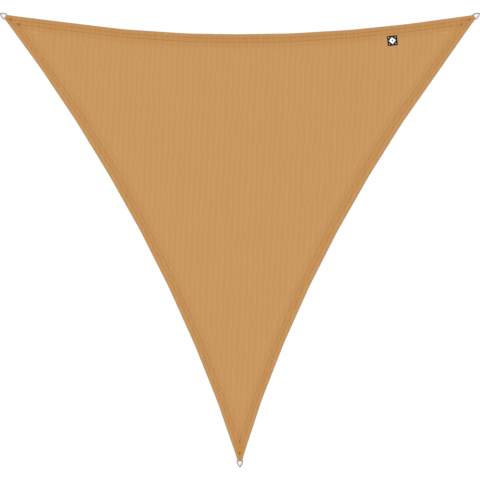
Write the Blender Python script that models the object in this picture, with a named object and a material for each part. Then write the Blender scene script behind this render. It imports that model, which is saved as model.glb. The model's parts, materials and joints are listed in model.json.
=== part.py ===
"""A triangular shade sail of knitted cloth, lying flat with its face up.

The cloth is one piece. It is a single layer in the open, its edges are turned
under and sewn down as a hem, and its three ends are folded round the base bars
of three steel delta rings. A small square label is sewn on beside the hem.
Metres, +X along the straightest edge, +Z up, with the origin on the floor
under the middle of the whole sail.
"""
import math

import bmesh
import bpy
import numpy as np
from mathutils import Matrix, Vector
from mathutils.geometry import delaunay_2d_cdt

# Size of the cloth between its corners, before the ends are cut blunt
SPAN = 3.575
DROP = 3.391

# Each edge runs hollow between its corners, in nearly straight stretches.
# share: place along the straight line between the corners
# hollow: depth in from that line
# hem: width of the hem there, against its usual width
LEFT_EDGE = (
    # share, hollow, hem
    (0.000, 0.000, 1.00),
    (0.130, 0.072, 1.00),
    (0.254, 0.122, 1.17),
    (0.378, 0.152, 1.20),
    (0.502, 0.164, 1.12),
    (0.626, 0.155, 1.10),
    (0.749, 0.126, 1.04),
    (0.869, 0.077, 1.00),
    (1.000, 0.000, 1.00),
)
RIGHT_EDGE = (
    (0.000, 0.000, 1.00),
    (0.135, 0.088, 1.00),
    (0.255, 0.140, 1.06),
    (0.374, 0.169, 1.12),
    (0.495, 0.176, 1.18),
    (0.621, 0.160, 1.20),
    (0.742, 0.125, 1.15),
    (0.880, 0.058, 1.00),
    (1.000, 0.000, 1.00),
)
TOP_EDGE = (
    (0.000, 0.000, 1.00),
    (0.145, 0.071, 1.00),
    (0.268, 0.116, 1.02),
    (0.394, 0.143, 1.06),
    (0.507, 0.149, 1.06),
    (0.612, 0.143, 1.03),
    (0.746, 0.111, 1.02),
    (0.880, 0.053, 1.00),
    (1.000, 0.000, 1.00),
)
KINK_SHARE = 0.012          # share of an edge over which a kink turns
SLOPE_STEP = 0.002          # share of an edge over which its slope is read
NEAR_CORNER = 0.05          # share of an edge that gives its direction at a corner
STRETCHES = 40              # straight lines that an edge is drawn in
PAST_EDGE = 0.004           # how far a line drawn across the cloth runs over its edges
CORNER_ROOM = 0.010         # least distance of a drawn point from a corner
SAME_PLACE = 0.00005        # points of the plan nearer than this become one

# Section of the hem, from the folded edge inwards, where it has its usual width.
# inset: distance in from the edge
# face: height of the upper side
# back: height of the underside
HEM = (
    # inset, face, back
    (0.0000, 0.0022, 0.0009),
    (0.0013, 0.0029, 0.0002),
    (0.0040, 0.0032, 0.0000),
    (0.0160, 0.0034, 0.0000),
    (0.0310, 0.0026, 0.0000),
    (0.0450, 0.0033, 0.0000),
    (0.0600, 0.0025, 0.0000),
    (0.0760, 0.0027, 0.0000),
    (0.0940, 0.0024, 0.0000),
    (0.1000, 0.0013, 0.0000),
)

# Steel delta rings, bent from round wire. The base bar is the one in the fold.
WIRE_RADIUS = 0.003
RING_HALF_BASE = 0.0273     # to where the sides would meet the base bar if sharp
RING_HEIGHT = 0.0543        # to where the sides would meet each other if sharp
BASE_BEND = 0.011
TIP_BEND = 0.0052
BEND_STEPS = 6
WIRE_SIDES = 12

# Folded ends of the cloth, each closed round a base bar
END_WIDTH = 0.028
PLY = 0.0015                # cloth over and under the bar
SLACK = 0.0004              # room round the bar
FOLD_RADIUS = PLY + SLACK + WIRE_RADIUS
FOLD_ANGLES = (12, 32, 60, 90)
POCKET_LENGTH = 0.060       # from the end of the cloth to where its layers lie flat again
POCKET_STEPS = 7

# Label
LABEL_SIZE = 0.075
LABEL_SHARE = 0.1832        # place of its middle along the top edge, from the right
LABEL_INSET = 0.075         # from the edge of the cloth to the label
LABEL_PLY = 0.0010
LABEL_GAP = 0.0003

SAND = (0.550, 0.285, 0.094)
STEEL = (0.400, 0.390, 0.370)
BLACK = (0.006, 0.005, 0.004)


def material(name, color, roughness, metallic=0.0):
    """A plain finish."""
    finish = bpy.data.materials.new(name)
    finish.use_nodes = True
    shader = finish.node_tree.nodes["Principled BSDF"]
    shader.inputs["Base Color"].default_value = (*color, 1.0)
    shader.inputs["Roughness"].default_value = roughness
    shader.inputs["Metallic"].default_value = metallic
    return finish


def add_object(name, bm, finish, smooth=False):
    """Turns a bmesh into an object that hangs from the sail's middle."""
    mesh = bpy.data.meshes.new(name)
    bm.to_mesh(mesh)
    bm.free()
    if smooth:
        mesh.shade_smooth()
    mesh.materials.append(finish)
    piece = bpy.data.objects.new(name, mesh)
    piece.parent = middle
    bpy.context.collection.objects.link(piece)
    return piece


class Edge:
    """One hollow edge of the cloth, from one corner to the next, anticlockwise."""

    def __init__(self, start, end, rows):
        self.start = Vector(start)
        self.end = Vector(end)
        self.shares, self.hollows, self.hems = zip(*rows)
        self.length = (self.end - self.start).length
        self.along = (self.end - self.start).normalized()
        self.inward = Vector((-self.along.y, self.along.x))

    def read(self, share, column):
        """A table column at one share, with the kinks turned softly."""
        reach = min(KINK_SHARE, share, 1.0 - share)
        around = np.linspace(share - reach, share + reach, 5)
        return float(np.mean(np.interp(around, self.shares, column)))

    def point(self, share, inset=0.0):
        """A place on the edge, or in from it by an inset that follows the hem's width."""
        on_line = self.start + self.along * self.length * share
        place = on_line + self.inward * self.read(share, self.hollows)
        if inset:
            place += self.normal(share) * inset * self.read(share, self.hems)
        return place

    def normal(self, share):
        """Direction into the cloth, square to the edge."""
        low = max(share - SLOPE_STEP, 0.0)
        high = min(share + SLOPE_STEP, 1.0)
        run = self.point(high) - self.point(low)
        return Vector((-run.y, run.x)).normalized()

    def stations(self):
        return [step / STRETCHES for step in range(STRETCHES + 1)]


class Corner:
    """A corner of the cloth, with its blunt end and the place of its ring."""

    def __init__(self, before, after):
        self.tip = after.start
        leaving = (after.point(NEAR_CORNER) - self.tip).normalized()
        arriving = (before.point(1.0 - NEAR_CORNER) - self.tip).normalized()
        self.inward = (leaving + arriving).normalized()
        self.across = Vector((-self.inward.y, self.inward.x))
        self.half_angle = 0.5 * leaving.angle(arriving)
        self.end = self.tip + self.inward * (0.5 * END_WIDTH / math.tan(self.half_angle))
        self.bar = self.end + self.inward * FOLD_RADIUS

    def depth(self, place):
        """Distance in from the blunt end."""
        return (place - self.end).dot(self.inward)

    def line_across(self, depth):
        """A line over the cloth at a depth, a little longer than the cloth is wide."""
        centre = self.end + self.inward * depth
        half = 0.5 * END_WIDTH + depth * math.tan(self.half_angle) + PAST_EDGE
        return [centre - self.across * half, centre + self.across * half]


def seam_loop(edges, corners, inset):
    """A closed line that runs inside the cloth's edges at one inset of the hem."""
    points = []
    for edge, first, last in zip(edges, corners, corners[1:] + corners[:1]):
        points.append(first.tip + first.inward * inset / math.sin(first.half_angle))
        start_room = inset / math.tan(first.half_angle) + CORNER_ROOM
        end_room = inset / math.tan(last.half_angle) + CORNER_ROOM
        for share in edge.stations():
            if start_room < share * edge.length < edge.length - end_room:
                points.append(edge.point(share, inset))
    return points


def pocket_rows():
    """Rows (depth, face, back) of a folded end, round the bar and then flattening out."""
    rows = []
    first_depth = FOLD_RADIUS * (1 - math.cos(math.radians(FOLD_ANGLES[0])))
    for angle in FOLD_ANGLES:
        depth = FOLD_RADIUS * (1 - math.cos(math.radians(angle)))
        rise = FOLD_RADIUS * math.sin(math.radians(angle))
        rows.append((depth - first_depth, FOLD_RADIUS + rise, FOLD_RADIUS - rise))
    _, edge_face, edge_back = HEM[0]
    for step in range(1, POCKET_STEPS + 1):
        part = step / POCKET_STEPS
        depth = FOLD_RADIUS + part * (POCKET_LENGTH - FOLD_RADIUS)
        swell = 0.5 * (1 + math.cos(math.pi * part))
        rows.append((depth, edge_face + (2 * FOLD_RADIUS - edge_face) * swell, edge_back * (1 - swell)))
    return rows


class Cloth:
    """Plan and heights of the cloth."""

    def __init__(self):
        left = Vector((-0.5 * SPAN, 0.0))
        right = Vector((0.5 * SPAN, 0.0))
        bottom = Vector((0.0, -DROP))
        self.top_edge = Edge(right, left, TOP_EDGE)
        self.edges = [Edge(left, bottom, LEFT_EDGE), Edge(bottom, right, RIGHT_EDGE), self.top_edge]
        self.corners = [Corner(self.edges[i - 1], self.edges[i]) for i in range(3)]
        self.pocket = pocket_rows()
        self.runs = [[(share, edge.point(share)) for share in edge.stations()] for edge in self.edges]

    def inset(self, place):
        """Distance in from the nearest edge, against the hem's width there."""
        nearest = math.inf
        for edge, run in zip(self.edges, self.runs):
            for (share, low), (_, high) in zip(run, run[1:]):
                step = high - low
                part = min(max((place - low).dot(step) / step.length_squared, 0.0), 1.0)
                distance = (place - low - step * part).length
                width = edge.read(share + part / STRETCHES, edge.hems)
                nearest = min(nearest, distance / width)
        return nearest

    def heights(self, place):
        """Heights of the face and the back at a place in the plan."""
        insets, faces, backs = zip(*HEM)
        inset = self.inset(place)
        face = float(np.interp(inset, insets, faces))
        back = float(np.interp(inset, insets, backs))
        depths, pocket_faces, pocket_backs = zip(*self.pocket)
        depth = min(corner.depth(place) for corner in self.corners)
        if depth < POCKET_LENGTH:
            face = max(face, float(np.interp(depth, depths, pocket_faces)))
            pocket_back = float(np.interp(depth, depths, pocket_backs))
            back = pocket_back if depth < FOLD_RADIUS else min(back, pocket_back)
        return face, back

    def plan(self):
        """Corner points and triangles of the cloth seen from above."""
        points = []
        joins = []
        for row in HEM:
            loop = seam_loop(self.edges, self.corners, row[0])
            first = len(points)
            points += loop
            joins += [(first + i, first + (i + 1) % len(loop)) for i in range(len(loop))]
        for corner in self.corners:
            for depth, _, _ in self.pocket:
                joins.append((len(points), len(points) + 1))
                points += corner.line_across(depth)
        places, _, triangles, *_ = delaunay_2d_cdt(points, joins, [], 1, SAME_PLACE)
        kept = []
        for triangle in triangles:
            centre = sum((places[i] for i in triangle), Vector((0.0, 0.0))) / 3
            if all(corner.depth(centre) > 0 for corner in self.corners):
                kept.append(triangle)
        return places, kept


def sail_mesh(cloth):
    """The whole cloth as one closed solid."""
    places, triangles = cloth.plan()
    bm = bmesh.new()
    used = sorted({index for triangle in triangles for index in triangle})
    top = {}
    bottom = {}
    for index in used:
        face, back = cloth.heights(places[index])
        top[index] = bm.verts.new((*places[index], face))
        bottom[index] = bm.verts.new((*places[index], back))
    for triangle in triangles:
        bm.faces.new([top[i] for i in triangle])
    rim = [edge for edge in bm.edges if len(edge.link_faces) == 1]
    under = {top[index]: bottom[index] for index in used}
    for edge in rim:
        first, second = edge.verts
        bm.faces.new([first, second, under[second], under[first]])
    for triangle in triangles:
        bm.faces.new([bottom[i] for i in reversed(triangle)])
    bmesh.ops.recalc_face_normals(bm, faces=bm.faces)
    return bm


def bend(before, corner, after, radius):
    """Points of a round bend in a wire's middle line."""
    incoming = (before - corner).normalized()
    outgoing = (after - corner).normalized()
    half_angle = 0.5 * incoming.angle(outgoing)
    middle_way = (incoming + outgoing).normalized()
    centre = corner + middle_way * radius / math.sin(half_angle)
    start = corner + incoming * radius / math.tan(half_angle) - centre
    turn = (math.pi - 2 * half_angle) / BEND_STEPS
    if incoming.cross(outgoing) > 0:
        turn = -turn
    return [centre + Matrix.Rotation(turn * step, 2) @ start for step in range(BEND_STEPS + 1)]


def ring_mesh(wire_radius):
    """A delta ring in its own plane, base bar along X and tip towards +Y."""
    left = Vector((-RING_HALF_BASE, 0.0))
    right = Vector((RING_HALF_BASE, 0.0))
    tip = Vector((0.0, RING_HEIGHT))
    path = bend(left, right, tip, BASE_BEND)
    path += bend(right, tip, left, TIP_BEND)
    path += bend(tip, left, right, BASE_BEND)
    bm = bmesh.new()
    hoops = []
    for index, place in enumerate(path):
        run = path[(index + 1) % len(path)] - path[index - 1]
        outward = Vector((run.y, -run.x)).normalized()
        hoop = []
        for side in range(WIRE_SIDES):
            angle = 2 * math.pi * side / WIRE_SIDES
            offset = outward * wire_radius * math.cos(angle)
            hoop.append(bm.verts.new((*(place + offset), wire_radius * math.sin(angle))))
        hoops.append(hoop)
    for hoop, following in zip(hoops, hoops[1:] + hoops[:1]):
        for side in range(WIRE_SIDES):
            other = (side + 1) % WIRE_SIDES
            bm.faces.new([hoop[side], hoop[other], following[other], following[side]])
    bmesh.ops.recalc_face_normals(bm, faces=bm.faces)
    return bm


def place_ring(piece, corner):
    """Lays a ring with its bar in the folded end and its tip down on the floor."""
    tip_reach = RING_HEIGHT - TIP_BEND / math.sin(math.atan(RING_HALF_BASE / RING_HEIGHT)) + TIP_BEND
    drop = math.asin((FOLD_RADIUS - WIRE_RADIUS) / tip_reach)
    outward = -corner.inward
    heading = math.atan2(outward.y, outward.x) - math.pi / 2
    piece.location = (*corner.bar, FOLD_RADIUS)
    piece.rotation_euler = (-drop, 0.0, heading)


def add_ring(name, corner, sail):
    """A ring, and the slack hole for its bar through the folded end."""
    ring = add_object(name, ring_mesh(WIRE_RADIUS), steel, smooth=True)
    place_ring(ring, corner)
    hole = add_object(name + "_hole", ring_mesh(WIRE_RADIUS + SLACK), steel)
    place_ring(hole, corner)
    hole.hide_render = True
    hole.display_type = "WIRE"
    cut = sail.modifiers.new(name + "_hole", "BOOLEAN")
    cut.operation = "DIFFERENCE"
    cut.solver = "EXACT"
    cut.object = hole


def label_mesh(cloth):
    """The label, lying on the hem and over its inner edge on to the open cloth."""
    edge = cloth.top_edge
    inward = edge.normal(LABEL_SHARE)
    along = Vector((-inward.y, inward.x))
    foot = edge.point(LABEL_SHARE)
    width = edge.read(LABEL_SHARE, edge.hems)
    far_inset = LABEL_INSET + LABEL_SIZE
    breaks = [row[0] * width for row in HEM]
    insets = [LABEL_INSET, *(inset for inset in breaks if LABEL_INSET < inset < far_inset), far_inset]
    bm = bmesh.new()
    rows = []
    for inset in insets:
        face, _ = cloth.heights(foot + inward * inset)
        row = []
        for side in (-0.5, 0.5):
            place = foot + inward * inset + along * LABEL_SIZE * side
            row += [bm.verts.new((*place, face + LABEL_GAP + up)) for up in (0.0, LABEL_PLY)]
        rows.append(row)
    for near, far in zip(rows, rows[1:]):
        for first, second in ((0, 1), (1, 3), (3, 2), (2, 0)):
            bm.faces.new([near[first], near[second], far[second], far[first]])
    for row in (rows[0], rows[-1]):
        bm.faces.new([row[0], row[1], row[3], row[2]])
    bmesh.ops.recalc_face_normals(bm, faces=bm.faces)
    return bm


for leftover in list(bpy.data.objects):
    bpy.data.objects.remove(leftover, do_unlink=True)

sand = material("knitted_cloth", SAND, 0.85)
steel = material("polished_steel", STEEL, 0.3, metallic=1.0)
black = material("woven_label", BLACK, 0.7)

middle = bpy.data.objects.new("middle", None)
bpy.context.collection.objects.link(middle)

cloth = Cloth()
sail = add_object("sail", sail_mesh(cloth), sand)
for name, corner in zip(("ring_left", "ring_bottom", "ring_right"), cloth.corners):
    add_ring(name, corner, sail)
add_object("label", label_mesh(cloth), black)

# The middle of the whole sail, rings included, comes to the origin
bpy.context.view_layer.update()
shown = [piece for piece in middle.children if not piece.hide_render]
reach = [piece.matrix_world @ vertex.co for piece in shown for vertex in piece.data.vertices]
for axis in (0, 1):
    values = [place[axis] for place in reach]
    middle.location[axis] = -0.5 * (min(values) + max(values))
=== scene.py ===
"""The looks of a triangular shade sail, laid flat on a pale floor and seen from
straight above: sand-coloured knitted cloth with a wide stitched hem, a steel
ring in each of its three folded ends, and a small woven label. Metres, +Z up.
"""
import json
import math

import bmesh
import bpy
import numpy as np
from mathutils import Matrix, Vector, noise
from mathutils.geometry import delaunay_2d_cdt

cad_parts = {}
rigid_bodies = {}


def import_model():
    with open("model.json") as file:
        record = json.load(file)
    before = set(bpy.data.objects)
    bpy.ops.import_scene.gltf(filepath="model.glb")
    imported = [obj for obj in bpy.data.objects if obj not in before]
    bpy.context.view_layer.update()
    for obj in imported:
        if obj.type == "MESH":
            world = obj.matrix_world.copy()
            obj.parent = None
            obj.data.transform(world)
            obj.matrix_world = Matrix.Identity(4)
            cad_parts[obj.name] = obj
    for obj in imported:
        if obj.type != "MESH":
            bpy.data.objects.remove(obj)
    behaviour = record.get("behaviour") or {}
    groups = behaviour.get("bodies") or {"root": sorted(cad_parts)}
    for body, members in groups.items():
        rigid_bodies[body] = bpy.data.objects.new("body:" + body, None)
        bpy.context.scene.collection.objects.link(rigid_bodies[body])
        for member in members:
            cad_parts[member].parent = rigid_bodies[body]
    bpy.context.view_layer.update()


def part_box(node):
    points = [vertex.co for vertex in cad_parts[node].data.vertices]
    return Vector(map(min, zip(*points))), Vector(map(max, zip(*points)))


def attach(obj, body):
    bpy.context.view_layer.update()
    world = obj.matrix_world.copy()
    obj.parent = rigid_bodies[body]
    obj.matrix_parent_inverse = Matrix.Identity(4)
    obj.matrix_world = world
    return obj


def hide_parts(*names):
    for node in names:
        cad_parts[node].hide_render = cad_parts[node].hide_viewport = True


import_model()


# ---- View ------------------------------------------------------------------
# The sail is seen from straight above. The camera stands far off with a long
# lens, so the two upper corners and the lower one show no perspective.

PICTURE_WIDTH = 3.6
PICTURE_MIDDLE = (0.0010, 0.0002)
EYE_HEIGHT = 25.0
SENSOR_WIDTH = 36.0

view = bpy.data.cameras.new("view")
view.sensor_width = SENSOR_WIDTH
view.lens = SENSOR_WIDTH * EYE_HEIGHT / PICTURE_WIDTH
camera = bpy.data.objects.new("view", view)
camera.location = (*PICTURE_MIDDLE, EYE_HEIGHT)
bpy.context.scene.collection.objects.link(camera)
bpy.context.scene.camera = camera
bpy.context.scene.view_settings.view_transform = "Standard"


# ---- Floor and light -------------------------------------------------------
# A plain pale floor under an even white sky, and one broad soft light from the
# upper left that brings out the hem and the stitching.

FLOOR_HALF = 90.0
FLOOR_DROP = 0.0002
FLOOR_WHITE = (0.95, 0.95, 0.95, 1.0)
SKY_STRENGTH = 0.80
LAMP_STRENGTH = 1.087
LAMP_TILT = math.radians(32)
LAMP_HEADING = math.radians(35)
LAMP_SPREAD = math.radians(14)


def node(tree, kind, inputs=None, **settings):
    """Adds a node, with its settings, and fills its inputs or joins them to other nodes."""
    made = tree.nodes.new(kind)
    for name, value in settings.items():
        setattr(made, name, value)
    for key, value in (inputs or {}).items():
        if isinstance(value, bpy.types.NodeSocket):
            tree.links.new(value, made.inputs[key])
        else:
            made.inputs[key].default_value = value
    return made


def finish(name, **constants):
    """A new material, its node tree and its shader, with what is the same all over set on the shader."""
    made = bpy.data.materials.new(name)
    made.use_nodes = True
    shader = made.node_tree.nodes["Principled BSDF"]
    for key, value in constants.items():
        shader.inputs[key.replace("_", " ")].default_value = value
    return made, made.node_tree, shader


def add_piece(name, mesh):
    """Puts a mesh into the scene as an object of its own, at the origin."""
    piece = bpy.data.objects.new(name, mesh)
    bpy.context.scene.collection.objects.link(piece)
    return piece


floor_paint, _, _ = finish("floor_paint", Roughness=0.9, Specular_IOR_Level=0.0, Base_Color=FLOOR_WHITE)
floor_mesh = bpy.data.meshes.new("floor")
floor_signs = ((-1, -1), (1, -1), (1, 1), (-1, 1))
floor_corners = [(x * FLOOR_HALF, y * FLOOR_HALF, -FLOOR_DROP) for x, y in floor_signs]
floor_mesh.from_pydata(floor_corners, [], [(0, 1, 2, 3)])
floor_mesh.materials.append(floor_paint)
add_piece("floor", floor_mesh)

sky = bpy.data.worlds.new("sky")
sky.use_nodes = True
sky.node_tree.nodes["Background"].inputs["Color"].default_value = (1.0, 1.0, 1.0, 1.0)
sky.node_tree.nodes["Background"].inputs["Strength"].default_value = SKY_STRENGTH
bpy.context.scene.world = sky

lamp = bpy.data.lights.new("lamp", "SUN")
lamp.energy = LAMP_STRENGTH
lamp.angle = LAMP_SPREAD
lamp_stand = bpy.data.objects.new("lamp", lamp)
lamp_stand.rotation_euler = (LAMP_TILT, 0.0, LAMP_HEADING + math.pi)
bpy.context.scene.collection.objects.link(lamp_stand)


# ---- Sail cloth ------------------------------------------------------------
# One piece of knitted shade cloth, cut as a triangle with hollow edges. Each
# edge is turned under as a wide hem, and each corner is cut blunt and folded
# round the base bar of a ring, where its layers lie on one another.

SPAN = 3.575                # between the two upper corners, if they were sharp
DROP = 3.391                # from their line down to the lower corner
LEFT_EDGE = (
    # where the edge bends: share of its length, hollow, width of the hem against its usual width
    (0.130, 0.072, 1.00),
    (0.254, 0.122, 1.17),
    (0.378, 0.152, 1.20),
    (0.502, 0.164, 1.12),
    (0.626, 0.155, 1.10),
    (0.749, 0.126, 1.04),
    (0.869, 0.077, 1.00),
)
RIGHT_EDGE = (
    (0.135, 0.088, 1.00),
    (0.255, 0.140, 1.06),
    (0.374, 0.169, 1.12),
    (0.495, 0.176, 1.18),
    (0.621, 0.160, 1.20),
    (0.742, 0.125, 1.15),
    (0.880, 0.058, 1.00),
)
TOP_EDGE = (
    (0.145, 0.071, 1.00),
    (0.268, 0.116, 1.02),
    (0.394, 0.143, 1.06),
    (0.507, 0.149, 1.06),
    (0.612, 0.143, 1.03),
    (0.746, 0.111, 1.02),
    (0.880, 0.053, 1.00),
)
EDGE_START = (0.0, 0.0, 1.0)
EDGE_END = (1.0, 0.0, 1.0)
KINK_SHARE = 0.012          # share of an edge over which a kink turns
SLOPE_STEP = 0.002          # share of an edge over which its slope is read
NEAR_CORNER = 0.05          # share of an edge that gives its direction at a corner

PLY = 0.0013                # one layer of the cloth
FOLD_ROUND = 0.0016         # how far in the fold of the edge rounds over
HEM_TURN = 0.100            # width of cloth turned under
HEM_SLOPE = 0.020           # from the turned edge to where the upper layer lies flat
ROWS_OF_STITCHES = (0.031, 0.060)
ROW_SINK = 0.0008           # how deep the stitches pull the face down
ROW_HOLLOW = 0.0006         # and how far they pull the back up
ROW_SPREAD = 0.0032
PUFF = 0.0010               # how far the layers stand up between the rows
STRIP_PUFF = 0.4            # share of that beyond the inner row
PUFF_SHARE = 0.7
PUCKER_DEPTH = 0.9
PUCKER_LENGTH = 0.042
PUCKER_WIDTH = 0.020
CREASE_INSET = 0.1005       # the short crease that runs on along the top's turned edge
CREASE_LENGTH = 0.060       # from where it meets the side's turned edge
CREASE_START = 0.01
CREASE_SPREAD = 0.003
CREASE_RISE = 0.0008
LIFT = 0.0016               # how far the open cloth stands off the floor in places
LIFT_SIZE = 0.55
LIFT_SHARE = 0.25           # the higher, the more of the cloth is off the floor
HAIR = 0.0001               # room for rounding, for points that lie just on a step of the cloth

WIRE_RADIUS = 0.003
RING_SLACK = 0.0004         # room round the wire in its fold
END_WIDTH = 0.028
END_PLY = 0.0015
FOLD_RADIUS = END_PLY + RING_SLACK + WIRE_RADIUS
POCKET_LENGTH = 0.060       # from the blunt end to where its layers lie flat
FLAP_STEP = 0.0009          # at the folded end's own edge, on the back
FLAP_SLOPE = 0.012
PAST_EDGE = 0.004           # how far a line across an end runs over its sides
CORNER_ROOM = 0.008
STATION_PITCH = 0.0105      # between the points of a line along an edge
FIELD_PITCH = 0.032         # between the points of the open cloth
FIELD_INSET = 0.150
HEM_LINES = (0.0, 0.0005, 0.0015, 0.004, 0.010, 0.017, 0.024, 0.0285, 0.031, 0.0335, 0.038, 0.0455, 0.053,
             0.0575, 0.060, 0.0625, 0.067, 0.076, 0.087, 0.096, 0.0995, 0.1015, 0.107, 0.114, 0.122)
FOLD_ANGLES = (14, 26, 38, 50, 63, 76, 90)
POCKET_LINES = 12
SIDE_INSETS = (0.0, 0.0005, 0.0015, 0.004)         # a folded end's side shows two folds: where its points
SIDE_HEIGHTS = (0.0, 0.5, 0.9, 1.0)                # stand between its middle and its face,
SIDE_SHIFTS = (0.0012, -0.0005, -0.0007, 0.0)      # and how far in they move

RING_HALF_BASE = 0.0273     # to where a ring's sides would meet its base bar if sharp
RING_HEIGHT = 0.0543        # to where they would meet each other if sharp
BASE_BEND = 0.011
TUNNEL_STATIONS = (-0.0200, -0.0185, -0.0165, -0.0145, -0.0120, 0.0120, 0.0145, 0.0165, 0.0185, 0.0200)
TUNNEL_OPEN = math.radians(55)
TUNNEL_SIDES = 15
TUNNEL_LENGTH = 0.024
TUNNEL_END_HEIGHT = 0.0040
SHARP_ANGLE = math.radians(50)

LEFT_CORNER = (-0.5 * SPAN, 0.0)
RIGHT_CORNER = (0.5 * SPAN, 0.0)
LOW_CORNER = (0.0, -DROP)

SAND = (0.555, 0.290, 0.097)
SAND_DOUBLED = (0.520, 0.250, 0.071)
SAND_AT_EDGE = (0.430, 0.285, 0.140)
SAND_HIGHLIGHT = (0.850, 0.520, 0.250)
HEM_SHARES_AND_SHADE = (
    # how far the colour of the doubled cloth shows outside, between and inside the rows, on the left, right
    # and top edges; the top's larger shares are painted shade on the top hem
    (0.42, 0.75, 0.35),
    (0.42, 0.75, 0.35),
    (0.85, 1.00, 0.60),
)
SHARE_CHANGE = 0.002
OVERLAP_CHANGE = 0.012
HEM_FADE = (HEM_TURN - 0.008, HEM_TURN + 0.004)
HEM_RAGGED = 0.03
HEM_PATCH_SIZE = 0.05
HEM_PATCH_DEPTH = 1.2
# the colour turns greyer and less red towards the cloth's very edge
EDGE_GREYING = 0.45
EDGE_GREYING_FROM = 0.002
EDGE_GREYING_WIDTH = 0.013
CREASE_HIGHLIGHT = 0.30         # how strong the painted highlight is on the crease where two turned edges meet
# painted shade in the grooves that the rows of stitches press into the cloth
ROW_GROOVE_SHADE = 0.02
ROW_GROOVE_SHADE_HALF = 0.005
CHAIN_PITCH = 0.0047
CHAIN_SIDE = (0.10, 0.24)   # from a chain's middle to where its side falls off, against its pitch
LOOP_PITCH = 0.0038
LOOP_LEAN = 1.6             # how far a loop's legs slant
LOOP_DEPTH = 0.22
TAPE_SIDE = (0.14, 0.36)
TAPE_HEIGHT = 0.55          # against the height of a chain
LOWER_TAPE = 0.8
KNIT_RELIEF = 0.0005
# painted shade: how much darker the colour is in the gaps of the knit
GAP_SHADE_DEPTH = 0.22
YARN_DEPTH = 0.02
SHADE_TINT = (0.70, 1.30, 2.40)    # how much of a change of shade goes to red, green and blue
LATTICE = (
    # waves a metre of each way of the faint diamonds, along x and y, and size of the patches that it shows in
    (54.7, 53.3, 0.30),
    (-55.5, 53.8, 0.22),
)
LATTICE_DEPTH = 0.062
LATTICE_CHANGE = 3.0
STRIPE = (23.7, -1.07)      # waves a metre of the faint upright stripes
STRIPE_DEPTH = 0.021
STRIPE_WANDER = 9.0
WANDER_SIZE = 0.12
PATCH_SIZE = 0.35
PATCH_DEPTH = 0.03


def ease(value, low, high):
    """Rises smoothly from 0 at low to 1 at high."""
    part = np.clip((value - low) / (high - low), 0.0, 1.0)
    return part * part * (3.0 - 2.0 * part)


def uneven(first, second, layer):
    """Smooth random values between about -1 and 1, one for each pair of coordinates."""
    return np.array([noise.noise(Vector((a, b, layer))) for a, b in zip(first, second)])


class Edge:
    """One hollow edge of the sail, from one corner to the next, anticlockwise."""

    def __init__(self, start, end, rows):
        self.start = np.array(start)
        self.shares, self.hollows, self.hems = zip(EDGE_START, *rows, EDGE_END)
        run = np.array(end) - self.start
        self.length = float(np.hypot(*run))
        self.along = run / self.length
        self.inward = np.array((-self.along[1], self.along[0]))

    def read(self, share, column):
        """A table column at these shares, with the kinks turned softly."""
        reach = np.minimum(KINK_SHARE, np.minimum(share, 1.0 - share))
        samples = [np.interp(share + reach * part, self.shares, column) for part in (-1, -0.5, 0, 0.5, 1)]
        return np.mean(samples, axis=0)

    def slope(self, share):
        low = np.maximum(share - SLOPE_STEP, 0.0)
        high = np.minimum(share + SLOPE_STEP, 1.0)
        rise = self.read(high, self.hollows) - self.read(low, self.hollows)
        return rise / ((high - low) * self.length)

    def normal(self, share):
        """Directions into the cloth, square to the edge."""
        slope = self.slope(share)
        across = self.inward - np.outer(slope, self.along)
        return across / np.hypot(1.0, slope)[:, None]

    def places(self, share, inset=0.0):
        """Places on the edge, or in from it by an inset that follows the hem's width."""
        on_line = self.start + np.outer(share, self.along * self.length)
        on_edge = on_line + np.outer(self.read(share, self.hollows), self.inward)
        return on_edge + self.normal(share) * (inset * self.read(share, self.hems))[:, None]

    def measure(self, places):
        """Inset from this edge, against the hem's width, and share of the edge, for places on the cloth."""
        offset = places - self.start
        share = np.clip(offset @ self.along / self.length, 0.0, 1.0)
        square = (offset @ self.inward - self.read(share, self.hollows)) / np.hypot(1.0, self.slope(share))
        return square / self.read(share, self.hems), share


class Corner:
    """A corner of the sail with its blunt end and the middle of its ring's base bar."""

    def __init__(self, before, after):
        self.tip = after.start
        leaving = after.places(np.array([NEAR_CORNER]))[0] - self.tip
        arriving = before.places(np.array([1.0 - NEAR_CORNER]))[0] - self.tip
        leaving /= np.hypot(*leaving)
        arriving /= np.hypot(*arriving)
        self.inward = (leaving + arriving) / np.hypot(*(leaving + arriving))
        self.across = np.array((-self.inward[1], self.inward[0]))
        self.half_angle = 0.5 * math.acos(leaving @ arriving)
        self.end = self.tip + self.inward * (0.5 * END_WIDTH / math.tan(self.half_angle))
        self.bar = self.end + self.inward * FOLD_RADIUS

    def depth(self, places):
        """Distance in from the blunt end."""
        return (places - self.end) @ self.inward

    def line_across(self, depth):
        """Two ends of a line over the cloth, a little longer than the cloth is wide."""
        half = 0.5 * END_WIDTH + depth * math.tan(self.half_angle) + PAST_EDGE
        return [self.end + self.inward * depth + self.across * half * side for side in (-1, 1)]


def line_along_edges(inset, pitch):
    """A closed line of places round the sail at one inset, with a sharp turn at each corner."""
    line = []
    for edge, first, last in zip(edges, corners, corners[1:] + corners[:1]):
        line.append(first.tip + first.inward * inset / math.sin(first.half_angle))
        share = np.linspace(0.0, 1.0, round(edge.length / pitch) + 1)
        start_room = inset / math.tan(first.half_angle) + CORNER_ROOM
        end_room = inset / math.tan(last.half_angle) + CORNER_ROOM
        clear = (share * edge.length > start_room) & (share * edge.length < edge.length - end_room)
        line.extend(edge.places(share[clear], inset))
    return line


def chained(lines, closed):
    """The points of some lines, closed or open, and the joins between them."""
    points = []
    joins = []
    for line in lines:
        first = len(points)
        points += [tuple(place) for place in line]
        joins += [(first + i, first + i + 1) for i in range(len(line) - 1)]
        if closed:
            joins.append((len(points) - 1, first))
    return points, joins


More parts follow.
